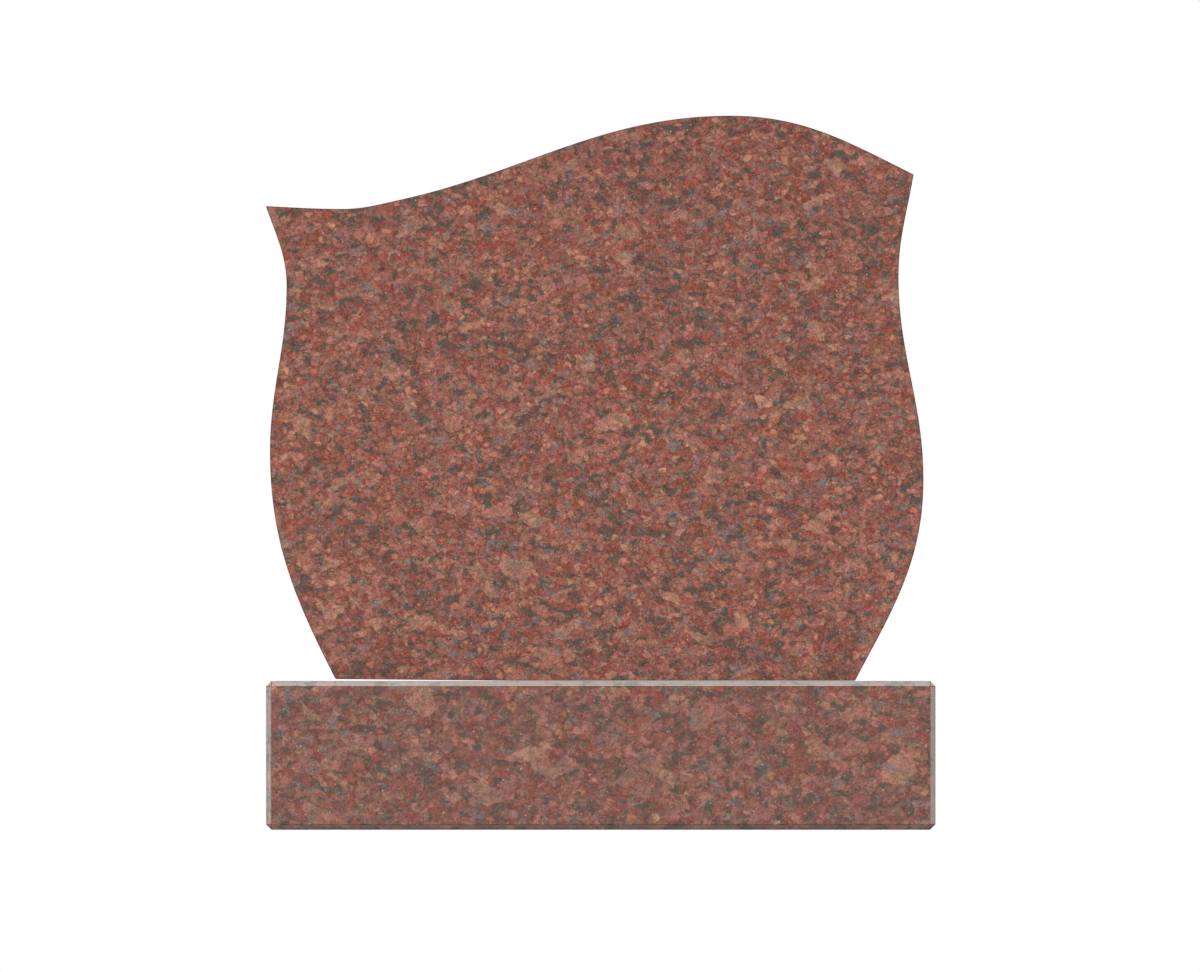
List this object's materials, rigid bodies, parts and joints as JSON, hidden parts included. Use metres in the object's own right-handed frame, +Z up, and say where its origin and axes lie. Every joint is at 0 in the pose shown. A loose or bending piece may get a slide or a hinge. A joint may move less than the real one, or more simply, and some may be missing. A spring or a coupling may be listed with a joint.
{
  "type": "headstone",
  "caption": "Upright red granite headstone: a polished tablet with a wave-shaped top and flared sides, standing on a rectangular chamfered plinth.",
  "frame": {"origin": "middle of the plinth's underside", "axes": "+Z up towards the tablet's crest; -Y out of the tablet's front face; +X to the right as seen from the front, on the side of the crest"},
  "size_m": [0.686, 0.305, 0.7318],
  "materials": {
    "tablet_granite": "polished",
    "plinth_granite": "polished"
  },
  "bodies": {
    "root": {"tablet": "tablet_granite", "plinth": "plinth_granite"}
  },
  "joints": []
}
